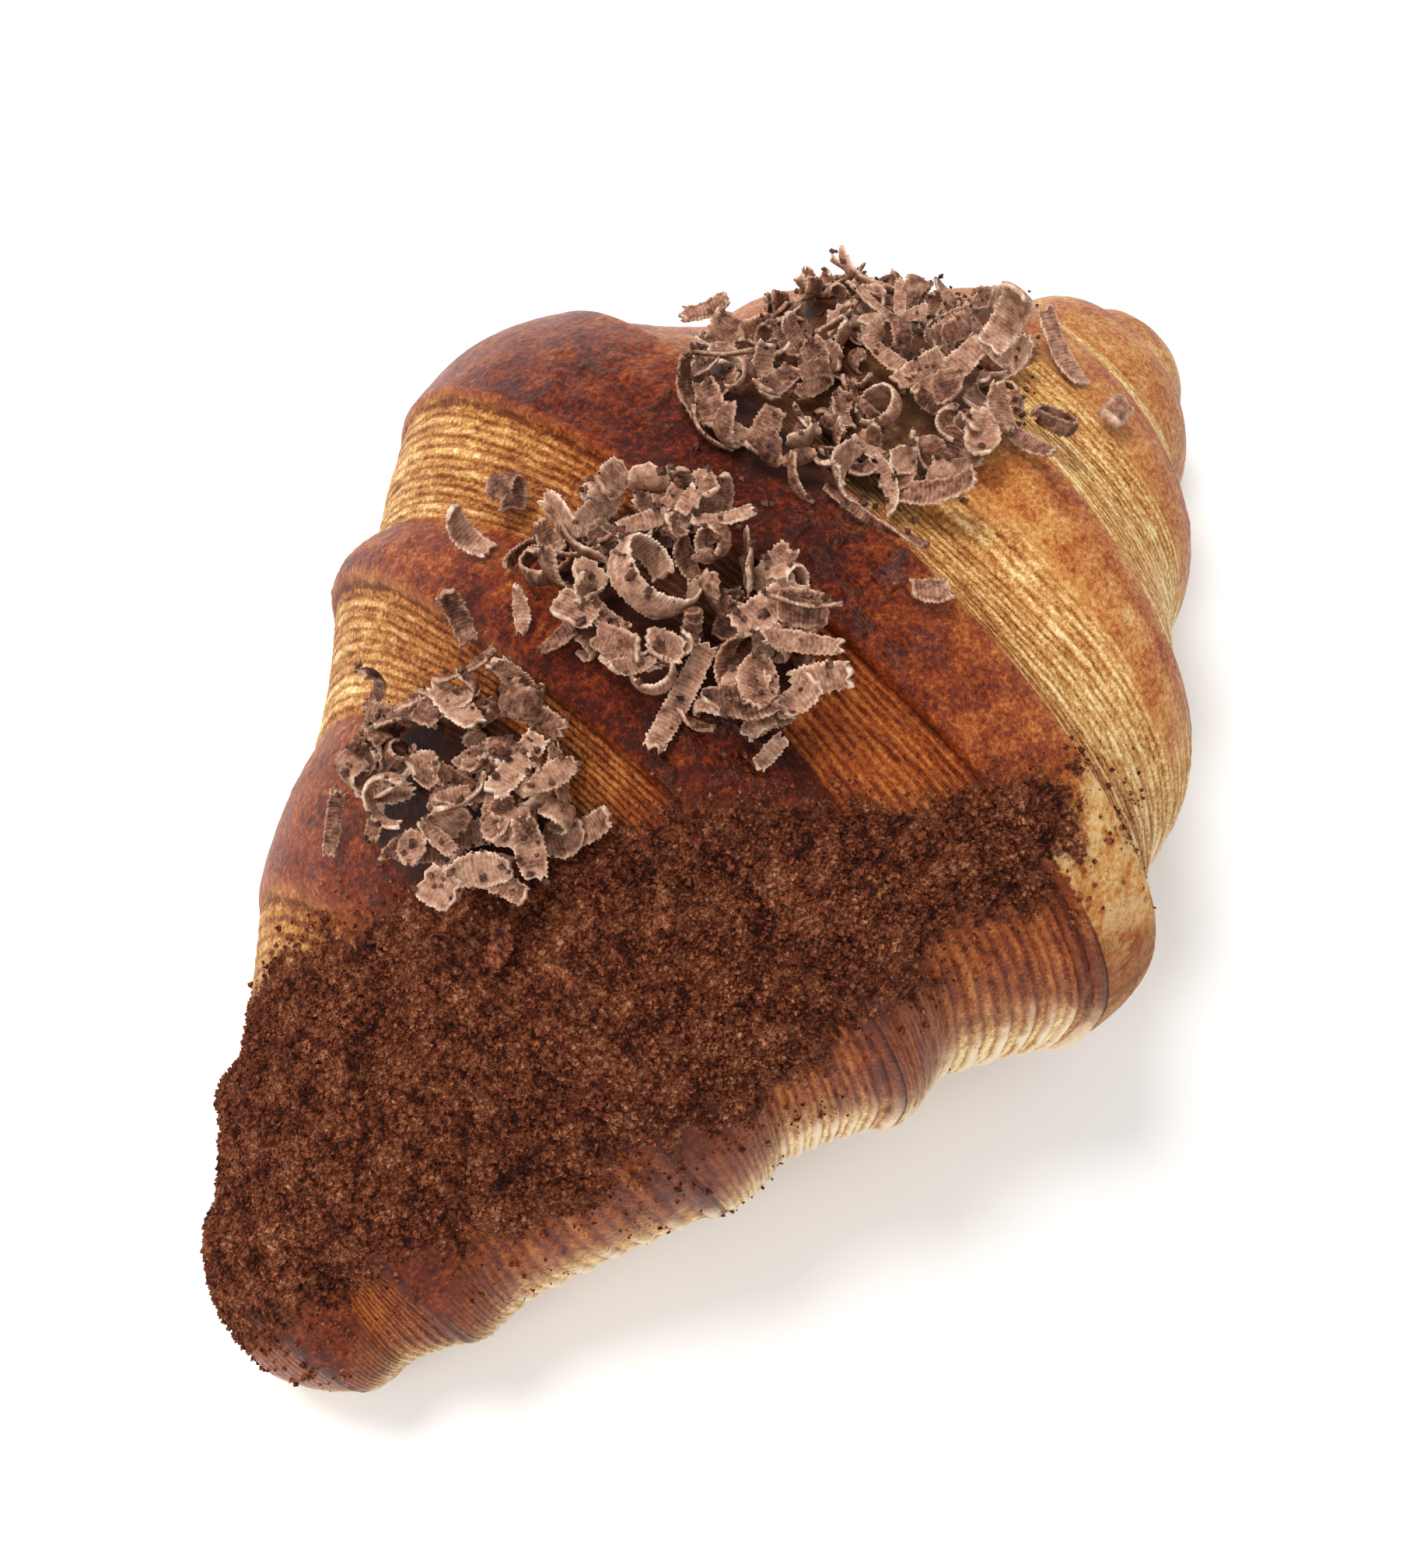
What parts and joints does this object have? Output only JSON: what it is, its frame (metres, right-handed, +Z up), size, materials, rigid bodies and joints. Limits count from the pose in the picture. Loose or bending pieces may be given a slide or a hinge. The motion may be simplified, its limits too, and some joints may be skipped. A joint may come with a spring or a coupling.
{
  "type": "croissant",
  "caption": "Butter croissant: a crescent-bent spiral roll of laminated dough with stepped bands, a flat underside and chocolate shavings on top.",
  "frame": {"origin": "on the flat underside, below the middle of the roll", "axes": "+X along the roll from tip to tip, +Y to the side the crescent opens away from at the near tip, +Z up"},
  "size_m": [0.172, 0.1052, 0.0677],
  "materials": {
    "crust": "egg-washed, glossy on the outer skin and dry on the cut edges",
    "chocolate": "matte, ribbed"
  },
  "bodies": {
    "root": {"croissant": "crust", "near_strip_a": "chocolate", "near_leaf_a": "chocolate", "near_flake_a": "chocolate", "near_leaf_b": "chocolate", "near_tube": "chocolate", "near_ring_a": "chocolate", "near_flake_b": "chocolate", "near_curl_a": "chocolate", "near_flake_c": "chocolate", "near_curl_b": "chocolate", "near_leaf_c": "chocolate", "near_flake_d": "chocolate", "near_strip_b": "chocolate", "mid_flake_long": "chocolate", "mid_spiral": "chocolate", "mid_ring_open": "chocolate", "mid_flake_a": "chocolate", "mid_ring_big": "chocolate", "mid_ring_small": "chocolate", "mid_curl_a": "chocolate", "mid_ribbed": "chocolate", "mid_fold": "chocolate", "mid_flake_b": "chocolate", "mid_fin_a": "chocolate", "mid_fin_b": "chocolate", "mid_flake_c": "chocolate", "mid_leaf_a": "chocolate", "mid_leaf_b": "chocolate", "mid_hook": "chocolate", "mid_clump_a": "chocolate", "mid_clump_b": "chocolate", "mid_lone_square": "chocolate", "far_flake_a": "chocolate", "far_flake_b": "chocolate", "far_string": "chocolate", "far_flake_c": "chocolate", "far_ring_a": "chocolate", "far_wide": "chocolate", "far_flake_d": "chocolate", "far_flake_e": "chocolate", "far_curl_a": "chocolate", "far_rectangle": "chocolate", "far_fin_a": "chocolate", "far_curl_b": "chocolate", "far_curl_c": "chocolate", "far_curl_big": "chocolate", "far_curl_d": "chocolate", "far_flake_long": "chocolate", "far_chip": "chocolate", "far_ring_b": "chocolate", "far_flake_f": "chocolate", "far_fin_b": "chocolate", "far_flake_g": "chocolate", "far_flake_h": "chocolate", "cocoa_flake_a": "chocolate", "cocoa_flake_b": "chocolate", "cocoa_flake_c": "chocolate", "cocoa_flake_d": "chocolate"}
  },
  "joints": []
}
